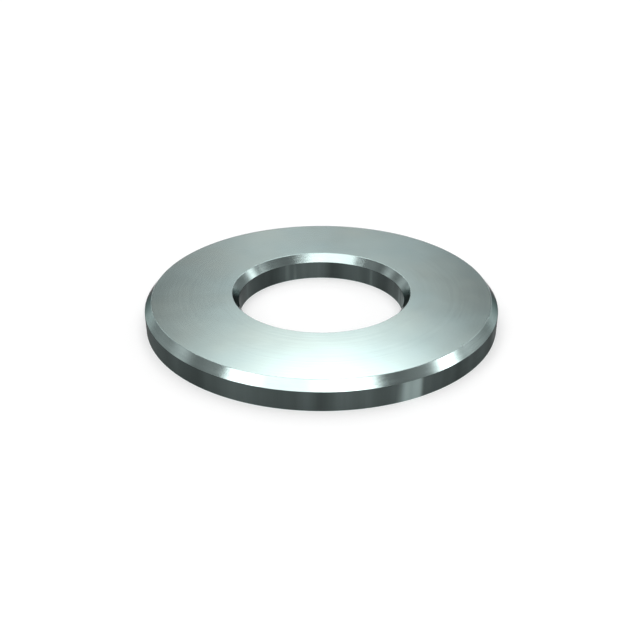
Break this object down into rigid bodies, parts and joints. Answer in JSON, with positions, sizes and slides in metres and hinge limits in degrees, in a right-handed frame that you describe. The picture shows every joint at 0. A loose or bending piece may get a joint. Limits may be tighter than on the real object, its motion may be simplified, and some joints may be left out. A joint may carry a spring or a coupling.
{
  "type": "chamfered flat washer",
  "caption": "Round flat steel washer with a plain lower face, and a chamfered rim and chamfered bore on its upper face. It spreads the load of a bolt head or nut.",
  "frame": {"origin": "on the bore's axis, in the plain lower face that the washer lies on", "axes": "+Z along the bore's axis, from the plain lower face to the chamfered upper face; X and Y are in the lower face"},
  "size_m": [0.018, 0.018, 0.0014],
  "materials": {
    "bright_steel": "zinc-plated steel: fine-turned faces and cut chamfers, bright with a slight blue-green cast, and sheared rim and bore walls, which are darker"
  },
  "bodies": {
    "root": {"washer": "bright_steel"}
  },
  "joints": []
}
